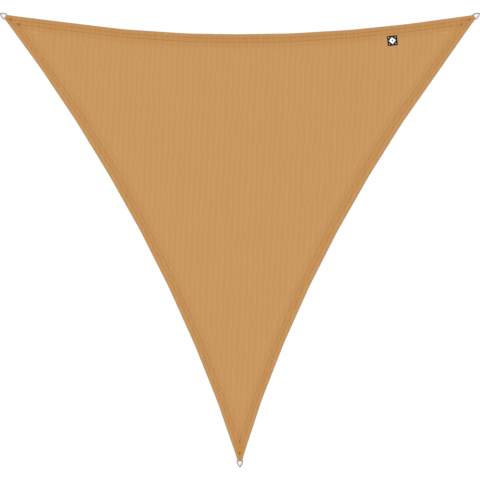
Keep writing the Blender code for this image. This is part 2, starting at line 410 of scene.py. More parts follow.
def sail_plan():
    """Places and triangles of the sail seen from above."""
    points, joins = chained([line_along_edges(inset, STATION_PITCH) for inset in HEM_LINES], True)
    fold_depths = [FOLD_RADIUS * (1 - math.cos(math.radians(angle))) for angle in FOLD_ANGLES]
    pocket_depths = np.linspace(FOLD_RADIUS, POCKET_LENGTH, POCKET_LINES + 1)[1:]
    slope_depths = POCKET_LENGTH + FLAP_SLOPE * np.array((0.05, 0.35, 0.65, 1.0))
    for corner in corners:
        for depth in (0.0, *fold_depths, *pocket_depths, *slope_depths):
            joins.append((len(points), len(points) + 1))
            points += corner.line_across(depth)
    for row, y in enumerate(np.arange(-DROP, 0.0, FIELD_PITCH * math.sqrt(0.75))):
        x = np.arange(-0.5 * SPAN, 0.5 * SPAN, FIELD_PITCH) + 0.5 * FIELD_PITCH * (row % 2)
        grid = np.column_stack((x, np.full(len(x), y)))
        points += list(grid[nearest_edge(grid)[0] > FIELD_INSET])
    places, _, triangles, *_ = delaunay_2d_cdt([Vector(p) for p in points], joins, [], 1, 1e-5)
    places = np.array(places)
    triangles = np.array(triangles)
    middles = places[triangles].mean(axis=1)
    inside = depth_from_end(middles) > 0
    used, triangles = np.unique(triangles[inside], return_inverse=True)
    return places[used], triangles.reshape(-1, 3)


def nearest_edge(places):
    """Inset from the nearest edge, the number of that edge and the share along it."""
    insets, shares = np.swapaxes([edge.measure(places) for edge in edges], 0, 1)
    which = np.argmin(insets, axis=0)
    pick = np.arange(len(places))
    return np.maximum(insets[which, pick], 0.0), which, shares[which, pick]


def section(places):
    """Heights of the face and the back at places in the plan."""
    inset, which, share = nearest_edge(places)
    along = (share + which) * SPAN
    turned = inset > HEM_TURN - HAIR
    row_sink = sum(np.exp(-((inset - row) / ROW_SPREAD) ** 2) for row in ROWS_OF_STITCHES)
    puff = np.zeros(len(places))
    for low, high, part in zip((0.0, *ROWS_OF_STITCHES), (*ROWS_OF_STITCHES, HEM_TURN), (1, 1, STRIP_PUFF)):
        puff += part * np.sin(math.pi * np.clip((inset - low) / (high - low), 0.0, 1.0)) ** 2
    pucker = uneven((along + 0.5 * inset) / PUCKER_LENGTH, inset / PUCKER_WIDTH, 0.0)
    back = np.where(turned, PLY * (1.0 - ease(inset, HEM_TURN, HEM_TURN + HEM_SLOPE)), 0.0)
    layers = np.where(turned, PLY, 2 * PLY)
    face = back + layers + puff * PUFF * (PUFF_SHARE + PUCKER_DEPTH * pucker) - ROW_SINK * row_sink
    face += CREASE_RISE * crease(inset, which, share)
    back += ROW_HOLLOW * row_sink
    lift = np.maximum(uneven(places[:, 0] / LIFT_SIZE, places[:, 1] / LIFT_SIZE, 3.0) + LIFT_SHARE, 0.0)
    lift *= LIFT * ease(inset, HEM_TURN + HEM_SLOPE, 3 * HEM_TURN)
    face += lift
    back += lift

    depth = depth_from_end(places)
    swell = 1.0 - ease(depth, FOLD_RADIUS, POCKET_LENGTH)
    face += (2 * FOLD_RADIUS - face) * swell
    back *= 1.0 - swell
    past_flap = depth > POCKET_LENGTH + HAIR
    back += FLAP_STEP * past_flap * (1.0 - ease(depth, POCKET_LENGTH, POCKET_LENGTH + FLAP_SLOPE))
    fold = round_over(depth, FOLD_RADIUS)
    side = round_over(inset, FOLD_ROUND)
    stack = stacked(depth)
    side += (np.interp(inset, SIDE_INSETS, SIDE_HEIGHTS) - side) * stack
    middle = 0.5 * (face + back)
    half = 0.5 * (face - back) * fold * side
    return middle + half, middle - half


def crease(inset, which, share):
    """1 on the short creases along the top's turned edge, where it has just met a side's, and 0 elsewhere."""
    right, left = (HEM_TURN / math.tan(corners[i].half_angle) for i in (2, 0))
    along = share * edges[2].length
    past = np.minimum(along - right, edges[2].length - along - left)
    shown = ease(past, -CREASE_START, CREASE_START) * (which == 2)
    shown *= 1.0 - ease(past, 0.5 * CREASE_LENGTH, CREASE_LENGTH)
    return shown * np.exp(-((inset - CREASE_INSET) / CREASE_SPREAD) ** 2)


def doubled_share_and_shade(inset, which):
    """How far the colour of the doubled cloth shows in the three bands of the hem, with painted shade added
    on the top hem.
    """
    outer, middle, inner = np.array(HEM_SHARES_AND_SHADE)[which].T
    first, second = ROWS_OF_STITCHES
    share = outer + (middle - outer) * ease(inset, first - SHARE_CHANGE, first + SHARE_CHANGE)
    return share + (inner - middle) * ease(inset, second - SHARE_CHANGE, second + SHARE_CHANGE)


def overlapped(places):
    """1 where the hems of two edges lie on one another, towards the corners, and 0 elsewhere."""
    insets = np.sort([edge.measure(places)[0] for edge in edges], axis=0)
    return 1.0 - ease(insets[1], HEM_TURN - OVERLAP_CHANGE, HEM_TURN)


def depth_from_end(places):
    """Distance in from the nearest blunt end."""
    return np.min([corner.depth(places) for corner in corners], axis=0)


def round_over(distance, radius):
    """Rises from 0 to 1 as a quarter circle does over its radius."""
    return np.sqrt(1.0 - (1.0 - np.clip(distance / radius, 0.0, 1.0)) ** 2)


def stacked(depth):
    """1 where the folded end lies under the cloth, so that its side shows two folds on one another."""
    begun = ease(depth, 0.2 * FOLD_RADIUS, FOLD_RADIUS)
    return begun * (1.0 - ease(depth, 0.8 * POCKET_LENGTH, POCKET_LENGTH))


def sail_mesh(places, triangles):
    """The cloth as one closed sheet. Its face and its back share the points of its outline."""
    face, back = section(places)
    inset, which, share = nearest_edge(places)
    drawn_in = np.interp(inset, SIDE_INSETS, SIDE_SHIFTS) * stacked(depth_from_end(places))
    normals = np.array([edge.normal(share) for edge in edges])[which, np.arange(len(places))]
    sides = np.sort(triangles[:, [0, 1, 1, 2, 2, 0]].reshape(-1, 2), axis=1)
    sides, uses = np.unique(sides, axis=0, return_counts=True)
    outline = np.unique(sides[uses == 1])
    count = len(places)
    under = np.arange(count) + count
    under[outline] = outline
    plan = places + normals * drawn_in[:, None] + plan_shift
    points = np.vstack((np.column_stack((plan, face)), np.column_stack((plan, back))))
    kept = np.delete(np.arange(2 * count), outline + count)
    renumbered = np.zeros(2 * count, int)
    renumbered[kept] = np.arange(len(kept))
    faces = renumbered[np.vstack((triangles, under[triangles][:, ::-1]))]
    mesh = bpy.data.meshes.new("sail_cloth")
    mesh.from_pydata(points[kept].tolist(), [], faces.tolist())
    kept_values = {
        "inset": inset,
        "along": (share + which) * SPAN,
        "doubled_and_shade": np.maximum(doubled_share_and_shade(inset, which), overlapped(places)),
        "crease": crease(inset, which, share),
    }
    for name, values in kept_values.items():
        values = np.tile(values, 2)[kept].astype(np.float32)
        mesh.attributes.new(name, "FLOAT", "POINT").data.foreach_set("value", values)
    return mesh


def tunnel_mesh(corner):
    """The space left round a ring's base bar: round at the bar, and narrowing to where the layers meet."""
    radius = WIRE_RADIUS + RING_SLACK
    base_angle = math.atan(RING_HEIGHT / RING_HALF_BASE)
    straight = RING_HALF_BASE - BASE_BEND / math.tan(0.5 * base_angle)
    bm = bmesh.new()
    rings = []
    for across in TUNNEL_STATIONS:
        past = max(abs(across) - straight, 0.0)
        bar = FOLD_RADIUS - (BASE_BEND - math.sqrt(BASE_BEND ** 2 - past ** 2))
        outline = []
        for angle in np.linspace(TUNNEL_OPEN, 2 * math.pi - TUNNEL_OPEN, TUNNEL_SIDES):
            outline.append((bar + radius * math.cos(angle), FOLD_RADIUS + radius * math.sin(angle)))
        outline.append((TUNNEL_LENGTH, TUNNEL_END_HEIGHT))
        ring = []
        for depth, height in outline:
            place = corner.end + corner.inward * depth + corner.across * across + plan_shift
            ring.append(bm.verts.new((*place, height)))
        rings.append(ring)
    for ring, following in zip(rings, rings[1:]):
        for i in range(len(ring)):
            j = (i + 1) % len(ring)
            bm.faces.new([ring[i], ring[j], following[j], following[i]])
    bm.faces.new(rings[0])
    bm.faces.new(rings[-1])
    bmesh.ops.recalc_face_normals(bm, faces=bm.faces)
    mesh = bpy.data.meshes.new("tunnel")
    bm.to_mesh(mesh)
    bm.free()
    return mesh


def settle(piece):
    """Turns what a piece's modifiers make into its own plain mesh."""
    bpy.context.view_layer.update()
    made = bpy.data.meshes.new_from_object(piece.evaluated_get(bpy.context.evaluated_depsgraph_get()))
    piece.modifiers.clear()
    piece.data = made


def calc(tree, operation, *values):
    """A sum worked out over the surface."""
    return node(tree, "ShaderNodeMath", dict(enumerate(values)), operation=operation).outputs[0]


def rise(tree, value, low, high, start=0.0, end=1.0):
    """Goes softly from start to end as a value goes from low to high."""
    return node(tree, "ShaderNodeMapRange", {
        "Value": value, "From Min": low, "From Max": high, "To Min": start, "To Max": end,
    }, interpolation_type="SMOOTHSTEP").outputs["Result"]


def mixed(tree, share, color, other):
    """A colour that turns into another one as far as the share says."""
    return node(tree, "ShaderNodeMix", {"Factor": share, 6: color, 7: other}, data_type="RGBA").outputs[2]


def scaled(tree, vector, size):
    """A vector made longer or shorter, or a colour made lighter or darker."""
    return node(tree, "ShaderNodeVectorMath", {0: vector, 3: size}, operation="SCALE").outputs[0]


def vector_calc(tree, operation, *values):
    """A sum of vectors worked out over the surface."""
    return node(tree, "ShaderNodeVectorMath", dict(enumerate(values)), operation=operation).outputs[0]


def parts_of(tree, vector):
    """A vector's X, Y and Z."""
    return node(tree, "ShaderNodeSeparateXYZ", {0: vector}).outputs


def relief(tree, strength, depth, height):
    """Fine relief, from heights over the surface."""
    return node(tree, "ShaderNodeBump", {
        "Strength": strength, "Distance": depth, "Height": height}).outputs[0]


def dress(tree, shader, **looks):
    """Joins what changes over a surface to its shader."""
    for key, value in looks.items():
        tree.links.new(value, shader.inputs[key.replace("_", " ")])


def sockets(tree, inputs, outputs):
    """Gives a node group its named inputs, with their usual values, and its outputs."""
    for name, kind, usual in inputs:
        made = tree.interface.new_socket(name, in_out="INPUT", socket_type="NodeSocket" + kind)
        if usual is not None:
            made.default_value = usual
    for name, kind in outputs:
        tree.interface.new_socket(name, in_out="OUTPUT", socket_type="NodeSocket" + kind)
    return tree.nodes.new("NodeGroupInput").outputs


def apart(tree, first, second):
    """How far two values are from each other."""
    return calc(tree, "ABSOLUTE", calc(tree, "SUBTRACT", first, second))


def knit_group():
    """Shade cloth's knit: upright chains of loops, and flat tapes that cross between them."""
    tree = bpy.data.node_groups.new("knit", "ShaderNodeTree")
    given = sockets(tree, (
        ("Vector", "Vector", None),
        ("Chain pitch", "Float", 0.005),
        ("Loop pitch", "Float", 0.004),
    ), (("Height", "Float"), ("Gap", "Float"), ("Chain", "Float")))
    place = parts_of(tree, given["Vector"])
    across = calc(tree, "DIVIDE", place["X"], given["Chain pitch"])
    along = calc(tree, "DIVIDE", place["Y"], given["Loop pitch"])
    number = calc(tree, "ROUND", across)
    off = apart(tree, across, number)
    chain = rise(tree, off, *CHAIN_SIDE, 1.0, 0.0)
    turns = calc(tree, "MULTIPLY", calc(tree, "MULTIPLY_ADD", off, -LOOP_LEAN, along), 2 * math.pi)
    braid = calc(tree, "MULTIPLY_ADD", calc(tree, "COSINE", turns), LOOP_DEPTH, 1.0 - LOOP_DEPTH)
    between = calc(tree, "FRACT", across)
    swing = calc(tree, "PINGPONG", along, 1.0)
    upper = rise(tree, apart(tree, between, swing), *TAPE_SIDE, 1.0, 0.0)
    swing_back = calc(tree, "SUBTRACT", 1.0, swing)
    lower = rise(tree, apart(tree, between, swing_back), *TAPE_SIDE, 1.0, 0.0)
    tapes = calc(tree, "MAXIMUM", upper, calc(tree, "MULTIPLY", lower, LOWER_TAPE))
    tape_height = calc(tree, "MULTIPLY", tapes, TAPE_HEIGHT)
    height = node(tree, "ShaderNodeMix", {"Factor": chain, 2: tape_height, 3: braid}).outputs[0]
    gap = calc(tree, "SUBTRACT", 1.0, calc(tree, "MAXIMUM", tapes, chain))
    node(tree, "NodeGroupOutput", {"Height": height, "Gap": gap, "Chain": number})
    return tree


def mottle(tree, place, size):
    """Soft patches, from about -0.5 to 0.5, of about one size."""
    if "mottle" not in bpy.data.node_groups:
        group = bpy.data.node_groups.new("mottle", "ShaderNodeTree")
        given = sockets(group, (("Vector", "Vector", None), ("Size", "Float", 0.1)), (("Patches", "Float"),))
        scale = calc(group, "DIVIDE", 1.0, given["Size"])
        cloud = node(group, "ShaderNodeTexNoise", {
            "Vector": given["Vector"], "Scale": scale, "Detail": 3.0}).outputs[0]
        node(group, "NodeGroupOutput", {"Patches": calc(group, "SUBTRACT", cloud, 0.5)})
    placed = node(tree, "ShaderNodeGroup", node_tree=bpy.data.node_groups["mottle"])
    tree.links.new(place, placed.inputs["Vector"])
    placed.inputs["Size"].default_value = size
    return placed.outputs["Patches"]


def wave(tree, place, direction, phase=0.0):
    """A cosine over the cloth with so many waves a metre along x and y."""
    turns = tuple(2 * math.pi * count for count in (*direction, 0.0))
    run = node(tree, "ShaderNodeVectorMath", {0: place, 1: turns}, operation="DOT_PRODUCT").outputs["Value"]
    return calc(tree, "COSINE", calc(tree, "ADD", run, phase))


def knitted_cloth():
    """The sail's finish, from its knit up to the colour of its hem and its folds, with painted shade in the
    knit's gaps, along the rows and on the top hem, and a painted highlight on the creases.
    """
    made, tree, shader = finish("knitted_cloth", Roughness=0.7, Specular_IOR_Level=0.3, Sheen_Weight=0.05)
    place = node(tree, "ShaderNodeTexCoord").outputs["Object"]
    # the share read here is the doubled cloth's colour together with painted shade on the top hem
    inset, along, share, creased = (
        node(tree, "ShaderNodeAttribute", attribute_name=name).outputs["Fac"]
        for name in ("inset", "along", "doubled_and_shade", "crease"))
    knit = node(tree, "ShaderNodeGroup", node_tree=knit_group())
    tree.links.new(place, knit.inputs["Vector"])
    knit.inputs["Chain pitch"].default_value = CHAIN_PITCH
    knit.inputs["Loop pitch"].default_value = LOOP_PITCH

    wander = calc(tree, "MULTIPLY", mottle(tree, place, WANDER_SIZE), STRIPE_WANDER)
    stripe = wave(tree, place, STRIPE, wander)
    yarn = node(tree, "ShaderNodeTexWhiteNoise", {
        "W": knit.outputs["Chain"]}, noise_dimensions="1D").outputs[0]
    patches = mottle(tree, place, PATCH_SIZE)
    hem_place = node(tree, "ShaderNodeCombineXYZ", {"X": along, "Y": inset}).outputs[0]
    hem_patches = mottle(tree, hem_place, HEM_PATCH_SIZE)

    shade = calc(tree, "MULTIPLY", stripe, STRIPE_DEPTH)
    for across, up, patch_size in LATTICE:
        strength = calc(tree, "MULTIPLY_ADD", mottle(tree, place, patch_size), LATTICE_CHANGE, 1.0)
        diamonds = calc(tree, "MULTIPLY", wave(tree, place, (across, up)), strength)
        shade = calc(tree, "MULTIPLY_ADD", diamonds, LATTICE_DEPTH, shade)
    shade = calc(tree, "MULTIPLY_ADD", calc(tree, "SUBTRACT", yarn, 0.5), YARN_DEPTH, shade)
    shade = calc(tree, "MULTIPLY_ADD", patches, PATCH_DEPTH, shade)

    ragged = calc(tree, "MULTIPLY_ADD", hem_patches, HEM_RAGGED, inset)
    turned = rise(tree, ragged, *HEM_FADE, 1.0, 0.0)
    hem = calc(tree, "MULTIPLY", share, turned)
    hem = calc(tree, "MULTIPLY", hem, calc(tree, "MULTIPLY_ADD", hem_patches, HEM_PATCH_DEPTH, 1.0))
    # painted shade along the grooves of the rows of stitches
    groove_shade = 0.0
    for row in ROWS_OF_STITCHES:
        near = rise(tree, apart(tree, inset, row), 0.0, ROW_GROOVE_SHADE_HALF, 1.0, 0.0)
        groove_shade = calc(tree, "ADD", near, groove_shade)
    shade = calc(tree, "MULTIPLY_ADD", groove_shade, -ROW_GROOVE_SHADE, shade)
    # greyer and less red towards the very edge
    greyed = rise(tree, inset, EDGE_GREYING_FROM, EDGE_GREYING_WIDTH, EDGE_GREYING, 0.0)
    # painted highlight along the crease where two turned edges meet
    pale = calc(tree, "MULTIPLY", creased, CREASE_HIGHLIGHT)
    color = (*SAND, 1.0)
    for part, other in ((hem, SAND_DOUBLED), (greyed, SAND_AT_EDGE), (pale, SAND_HIGHLIGHT)):
        color = mixed(tree, part, color, (*other, 1.0))
    tint = vector_calc(tree, "MULTIPLY_ADD", shade, SHADE_TINT, (1.0, 1.0, 1.0))
    # painted shade in the knit's gaps
    gap_shade = calc(tree, "MULTIPLY_ADD", knit.outputs["Gap"], -GAP_SHADE_DEPTH, 1.0)
    dress(tree, shader,
          Base_Color=scaled(tree, vector_calc(tree, "MULTIPLY", color, tint), gap_shade),
          Roughness=calc(tree, "MULTIPLY_ADD", patches, 0.15, 0.68),
          Normal=relief(tree, 0.7, KNIT_RELIEF, knit.outputs["Height"]))
    return made


edges = [
    Edge(LEFT_CORNER, LOW_CORNER, LEFT_EDGE),
    Edge(LOW_CORNER, RIGHT_CORNER, RIGHT_EDGE),
    Edge(RIGHT_CORNER, LEFT_CORNER, TOP_EDGE),
]
corners = [Corner(edges[i - 1], edges[i]) for i in range(3)]
places, triangles = sail_plan()
sail_low, sail_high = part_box("sail")
plan_shift = 0.5 * (np.array(sail_low + sail_high)[:2] - places.min(axis=0) - places.max(axis=0))
sail = add_piece("sail_cloth", sail_mesh(places, triangles))
for corner in corners:
    cutter = add_piece("tunnel", tunnel_mesh(corner))
    cut = sail.modifiers.new("tunnel", "BOOLEAN")
    cut.operation = "DIFFERENCE"
    cut.solver = "EXACT"
    cut.object = cutter
settle(sail)
for cutter in [piece for piece in bpy.data.objects if piece.name.startswith("tunnel")]:
    bpy.data.objects.remove(cutter)
sail.data.shade_smooth()
sail.data.set_sharp_from_angle(angle=SHARP_ANGLE)
sail.data.materials.clear()
sail.data.materials.append(knitted_cloth())
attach(sail, "root")
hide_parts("sail")


# ---- Stitching -------------------------------------------------------------
# Two rows of long stitches in thick brown thread hold the hem down, all the way
# round. Where the rows of two edges meet, the thread goes back and forth and
# makes a small dense tack.

THREAD_BROWN = (0.395, 0.138, 0.011)
THREAD_GROOVE_SHADE = 0.6           # how dark the painted shade makes the thread in the grooves between its strands
THREAD_PATCH_SIZE = 0.035
THREAD_PATCH_DEPTH = 0.25
TWIST_LENGTH = 0.0045
STRANDS = 3
STRAND_RELIEF = 0.0003
FIRST_STATION = 2           # a row starts this many points past the corner, with no stitch across it
STITCH_PITCH = 0.030
STITCH_LENGTH = 0.0215
STITCH_THICKNESS = 0.0022
UNDER_LENGTH = 0.024
UNDER_THICKNESS = 0.0012
FLATNESS = 0.5              # of a stitch's height against its width
SIDE_THINNING = 0.25        # how much thinner the stitches are along the two long sides
TACK_STARTS = (-0.014, -0.019)      # from where two rows meet to the tack's narrow end, nearer to the tip
TACK_LENGTH = 0.025
TACK_HALVES = (0.0020, 0.0120)
TACK_PITCH = 0.0031
TACK_THICKNESS = 0.0012
TACK_PASS = ((-1.0, -0.0003), (-0.8, 0.0005), (0.0, 0.0009), (0.8, 0.0005), (1.0, -0.0003))
TACK_UNEVEN = 0.12


def line_tree(name, *inputs):
    """A geometry tree with its named inputs, and the lines that it is given to grow on."""
    tree = bpy.data.node_groups.new(name, "GeometryNodeTree")
    given = sockets(tree, (("Geometry", "Geometry", None), *inputs), (("Geometry", "Geometry"),))
    return tree, given, node(tree, "GeometryNodeMeshToCurve", {"Mesh": given["Geometry"]}).outputs["Curve"]


def stitching():
    """A row of stitches along every line."""
    tree, given, line = line_tree(
        "stitching",
        ("Pitch", "Float", 0.03),
        ("Stitch length", "Float", 0.015),
        ("Thickness", "Float", 0.002),
        ("Flatness", "Float", 0.5),
        ("Side thinning", "Float", 0.0),
        ("Unevenness", "Float", 0.2),
        ("Seed", "Int", 1),
        ("Thread", "Material", None))
    points = node(tree, "GeometryNodeCurveToPoints", {
        "Curve": line, "Length": given["Pitch"]}, mode="LENGTH").outputs

    tangent = points["Tangent"]
    slack = calc(tree, "MULTIPLY", given["Pitch"], calc(tree, "MULTIPLY", given["Unevenness"], 0.5))
    shift = scaled(tree, tangent, calc(tree, "MULTIPLY", chance(tree, given["Seed"], 0), slack))
    square = vector_calc(tree, "CROSS_PRODUCT", tangent, (0.0, 0.0, 1.0))
    aside = calc(tree, "MULTIPLY", given["Thickness"], given["Unevenness"])
    drift = scaled(tree, square, calc(tree, "MULTIPLY", chance(tree, given["Seed"], 1), aside))
    offset = vector_calc(tree, "ADD", shift, drift)
    moved = node(tree, "GeometryNodeSetPosition", {"Geometry": points["Points"], "Offset": offset}).outputs[0]

    half = calc(tree, "MULTIPLY", given["Stitch length"], 0.5)
    ends = []
    for reach, height in ((-1.0, -0.45), (-0.8, 0.55), (0.8, 0.55), (1.0, -0.45)):
        ends.append(node(tree, "ShaderNodeCombineXYZ", {
            "X": calc(tree, "MULTIPLY", half, reach),
            "Z": calc(tree, "MULTIPLY", given["Thickness"], height)}).outputs[0])
    arch = node(tree, "GeometryNodeCurvePrimitiveBezierSegment", {
        "Resolution": 7, "Start": ends[0], "Start Handle": ends[1],
        "End Handle": ends[2], "End": ends[3]}).outputs[0]
    thread = wire(tree, arch, calc(tree, "MULTIPLY", given["Thickness"], 0.5), 6)

    stretch = calc(tree, "MULTIPLY_ADD", chance(tree, given["Seed"], 2), given["Unevenness"], 1.0)
    at_side = node(tree, "GeometryNodeInputNamedAttribute", {"Name": "at_side"}, data_type="FLOAT").outputs[0]
    width = calc(tree, "SUBTRACT", 1.0, calc(tree, "MULTIPLY", at_side, given["Side thinning"]))
    height = calc(tree, "MULTIPLY", width, given["Flatness"])
    scale = node(tree, "ShaderNodeCombineXYZ", {"X": stretch, "Y": width, "Z": height}).outputs[0]
    turned = node(tree, "FunctionNodeAlignRotationToVector", {
        "Vector": tangent}, axis="X", pivot_axis="Z").outputs[0]
    placed = node(tree, "GeometryNodeInstanceOnPoints", {
        "Points": moved, "Instance": thread, "Rotation": turned, "Scale": scale}).outputs[0]
    return ended(tree, placed, given["Thread"])


def chance(tree, seed, step):
    """A random value from -1 to 1 for each point."""
    own_seed = calc(tree, "ADD", seed, step)
    return node(tree, "FunctionNodeRandomValue", {"Seed": own_seed, 2: -1.0, 3: 1.0}).outputs[1]


def ended(tree, geometry, material):
    """Ends a tree with its instances made real, all in one material."""
    real = node(tree, "GeometryNodeRealizeInstances", {"Geometry": geometry}).outputs[0]
    dressed = node(tree, "GeometryNodeSetMaterial", {"Geometry": real, "Material": material}).outputs[0]
    node(tree, "NodeGroupOutput", {"Geometry": dressed})
    return tree


def wire(tree, line, radius, sides):
    """A round wire or thread along a line. Its points keep their place on the straight wire."""
    run = node(tree, "GeometryNodeCaptureAttribute", {"Geometry": line})
    run.capture_items.new("FLOAT", "Length")
    tree.links.new(node(tree, "GeometryNodeSplineParameter").outputs["Length"], run.inputs["Length"])
    section_line = node(tree, "GeometryNodeCurvePrimitiveCircle", {
        "Resolution": sides, "Radius": radius}, mode="RADIUS").outputs[0]
    rim = node(tree, "GeometryNodeCaptureAttribute", {"Geometry": section_line})
    rim.capture_items.new("VECTOR", "Place")
    tree.links.new(node(tree, "GeometryNodeInputPosition").outputs[0], rim.inputs["Place"])
    tube = node(tree, "GeometryNodeCurveToMesh", {
        "Curve": run.outputs["Geometry"], "Profile Curve": rim.outputs["Geometry"],
        "Fill Caps": True}).outputs[0]
    split = parts_of(tree, rim.outputs["Place"])
    straight = node(tree, "ShaderNodeCombineXYZ", {
        "X": run.outputs["Length"], "Y": split["X"], "Z": split["Y"]}).outputs[0]
    kept = node(tree, "GeometryNodeStoreNamedAttribute", {
        "Geometry": tube, "Name": "straight", "Value": straight,
    }, data_type="FLOAT_VECTOR", domain="POINT").outputs[0]
    return node(tree, "GeometryNodeSetShadeSmooth", {"Geometry": kept}).outputs[0]


def laid_thread():
    """One unbroken thread along every line."""
    tree, given, line = line_tree("laid_thread", ("Thickness", "Float", 0.002), ("Thread", "Material", None))
    thread = wire(tree, line, calc(tree, "MULTIPLY", given["Thickness"], 0.5), 8)
    return ended(tree, thread, given["Thread"])


def line_mesh(name, lines, closed):
    """A mesh of plain lines, one for each list of places."""
    mesh = bpy.data.meshes.new(name)
    mesh.from_pydata(*chained(lines, closed), [])
    return mesh


def on_cloth(line, side):
    """The places of a line in the plan, on the face of the cloth for side 0 and on its back for side 1."""
    line = np.array(line)
    return np.column_stack((line + plan_shift, section(line)[side]))


def hem_lines(name, lines):
    """A mesh of the rows of the hem, which knows where they run along the two long sides."""
    mesh = line_mesh(name, lines, True)
    which = nearest_edge(np.vstack(rows))[1]
    mesh.attributes.new("at_side", "FLOAT", "POINT").data.foreach_set("value", (which < 2).astype(np.float32))
    return mesh


def tack(corner, inset, before):
    """A line that goes back and forth over a small triangle, which widens from the tip into the cloth."""
    start = corner.tip + corner.inward * (inset / math.sin(corner.half_angle) + before)
    passes = round(TACK_LENGTH / TACK_PITCH)
    line = []
    heights = []
    for step in range(passes):
        reach = (-1) ** step * chances.uniform(1.0 - TACK_UNEVEN, 1.0 + TACK_UNEVEN)
        for across, height in TACK_PASS:
            part = (step + 0.5 * (1.0 + across)) / passes
            half = np.interp(part, (0.0, 1.0), TACK_HALVES) * reach
            line.append(start + corner.inward * TACK_LENGTH * part + corner.across * half * across)
            heights.append(height)
    raised = on_cloth(line, 0)
    raised[:, 2] += heights
    return raised


def grow(name, mesh, tree, values):
    """A piece that a geometry tree makes from a mesh, as a plain mesh of its own."""
    piece = add_piece(name, mesh)
    growth = piece.modifiers.new(tree.name, "NODES")
    growth.node_group = tree
    for socket in tree.interface.items_tree:
        if socket.in_out == "INPUT" and socket.name in values:
            growth[socket.identifier] = values[socket.name]
    settle(piece)
    return piece


def thread_finish(name, color):
    """Twisted thread: strands wound round one another, with painted shade in the grooves between them."""
    made, tree, shader = finish(name, Roughness=0.8, Specular_IOR_Level=0.2)
    straight = node(tree, "ShaderNodeAttribute", attribute_name="straight").outputs["Vector"]
    split = parts_of(tree, straight)
    angle = calc(tree, "ARCTAN2", split["Z"], split["Y"])
    wound = calc(tree, "MULTIPLY", split["X"], 2 * math.pi / TWIST_LENGTH)
    strands = calc(tree, "COSINE", calc(tree, "MULTIPLY_ADD", angle, STRANDS, wound))
    place = node(tree, "ShaderNodeTexCoord").outputs["Object"]
    patches = mottle(tree, place, THREAD_PATCH_SIZE)
    # painted shade in the grooves between the strands
    shade = calc(tree, "MULTIPLY_ADD", strands, 0.5 * (1 - THREAD_GROOVE_SHADE), 0.5 * (1 + THREAD_GROOVE_SHADE))
    shade = calc(tree, "MULTIPLY", shade, calc(tree, "MULTIPLY_ADD", patches, THREAD_PATCH_DEPTH, 1.0))
    dress(tree, shader,
          Base_Color=scaled(tree, color, shade), Normal=relief(tree, 0.8, STRAND_RELIEF, strands))
    return made


chances = np.random.default_rng(5)
stitch = stitching()
brown_thread = thread_finish("brown_thread", THREAD_BROWN)
rows = [np.roll(line_along_edges(inset, STATION_PITCH), -FIRST_STATION, axis=0) for inset in ROWS_OF_STITCHES]
face_rows = [on_cloth(row, 0) for row in rows]
hem_stitches = grow("hem_stitches", hem_lines("hem_stitches", face_rows), stitch, {
    "Pitch": STITCH_PITCH, "Stitch length": STITCH_LENGTH, "Thickness": STITCH_THICKNESS,
    "Flatness": FLATNESS, "Side thinning": SIDE_THINNING, "Unevenness": 0.22, "Seed": 4,
    "Thread": brown_thread})

# the thinner thread on the back is sewn on the cloth turned over, and then turned back with it
back_rows = [on_cloth(row, 1) * (1.0, 1.0, -1.0) for row in rows]
under_stitches = grow("under_stitches", hem_lines("under_stitches", back_rows), stitch, {
    "Pitch": STITCH_PITCH, "Stitch length": UNDER_LENGTH, "Thickness": UNDER_THICKNESS,
    "Flatness": FLATNESS, "Unevenness": 0.1, "Seed": 6, "Thread": brown_thread})
under_stitches.data.transform(Matrix.Scale(-1.0, 4, Vector((0.0, 0.0, 1.0))))
under_stitches.data.flip_normals()

tacks = [tack(corner, *row) for corner in corners for row in zip(ROWS_OF_STITCHES, TACK_STARTS)]
end_tacks = grow("end_tacks", line_mesh("end_tacks", tacks, False), laid_thread(), {
    "Thickness": TACK_THICKNESS, "Thread": brown_thread})
for piece in (hem_stitches, under_stitches, end_tacks):
    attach(piece, "root")


# ---- Rings -----------------------------------------------------------------
# Three delta rings of polished round steel wire, each bent to a triangle with
# round corners. The base bar lies in the fold of the cloth, and the tip rests
# on the floor.

TIP_BEND = 0.0052
STEEL = (0.30, 0.29, 0.275)
STEEL_PATCH_SIZE = 0.02
DRAWN_LINES = (18.0, 1400.0, 1400.0)       # lines a metre along the wire and across it


def bent_wire():
    """A wire along a sharp closed triangle, with its corners bent round."""
    tree, given, line = line_tree(
        "bent_wire",
        ("Base bend", "Float", 0.009),
        ("Tip bend", "Float", 0.006),
        ("Tip from", "Float", 0.03),
        ("Wire radius", "Float", 0.003),
        ("Steel", "Material", None))
    place = node(tree, "GeometryNodeInputPosition").outputs[0]
    height = parts_of(tree, place)["Y"]
    is_tip = calc(tree, "GREATER_THAN", height, given["Tip from"])
    radius = node(tree, "ShaderNodeMix", {
        "Factor": is_tip, "A": given["Base bend"], "B": given["Tip bend"]}).outputs[0]
    round_line = node(tree, "GeometryNodeFilletCurve", {
        "Curve": line, "Count": 14, "Radius": radius}, mode="POLY")
    return ended(tree, wire(tree, round_line.outputs[0], given["Wire radius"], 22), given["Steel"])


def polished_steel():
    """Drawn wire, polished: fine lines along it, and soft patches that are a little duller."""
    made, tree, shader = finish("polished_steel", Metallic=1.0)
    straight = node(tree, "ShaderNodeAttribute", attribute_name="straight").outputs["Vector"]
    stretched = node(tree, "ShaderNodeMapping", {"Vector": straight, "Scale": DRAWN_LINES}).outputs[0]
    lines = node(tree, "ShaderNodeTexNoise", {"Vector": stretched, "Scale": 1.0, "Detail": 3.0}).outputs[0]
    place = node(tree, "ShaderNodeTexCoord").outputs["Object"]
    patches = mottle(tree, place, STEEL_PATCH_SIZE)
    shade, dull = (
        calc(tree, "MULTIPLY_ADD", lines, 0.16, calc(tree, "MULTIPLY_ADD", patches, depth, usual))
        for depth, usual in ((0.06, 0.92), (0.10, 0.20)))
    dress(tree, shader,
          Base_Color=scaled(tree, STEEL, shade), Roughness=dull, Normal=relief(tree, 0.25, 0.0001, lines))
    return made


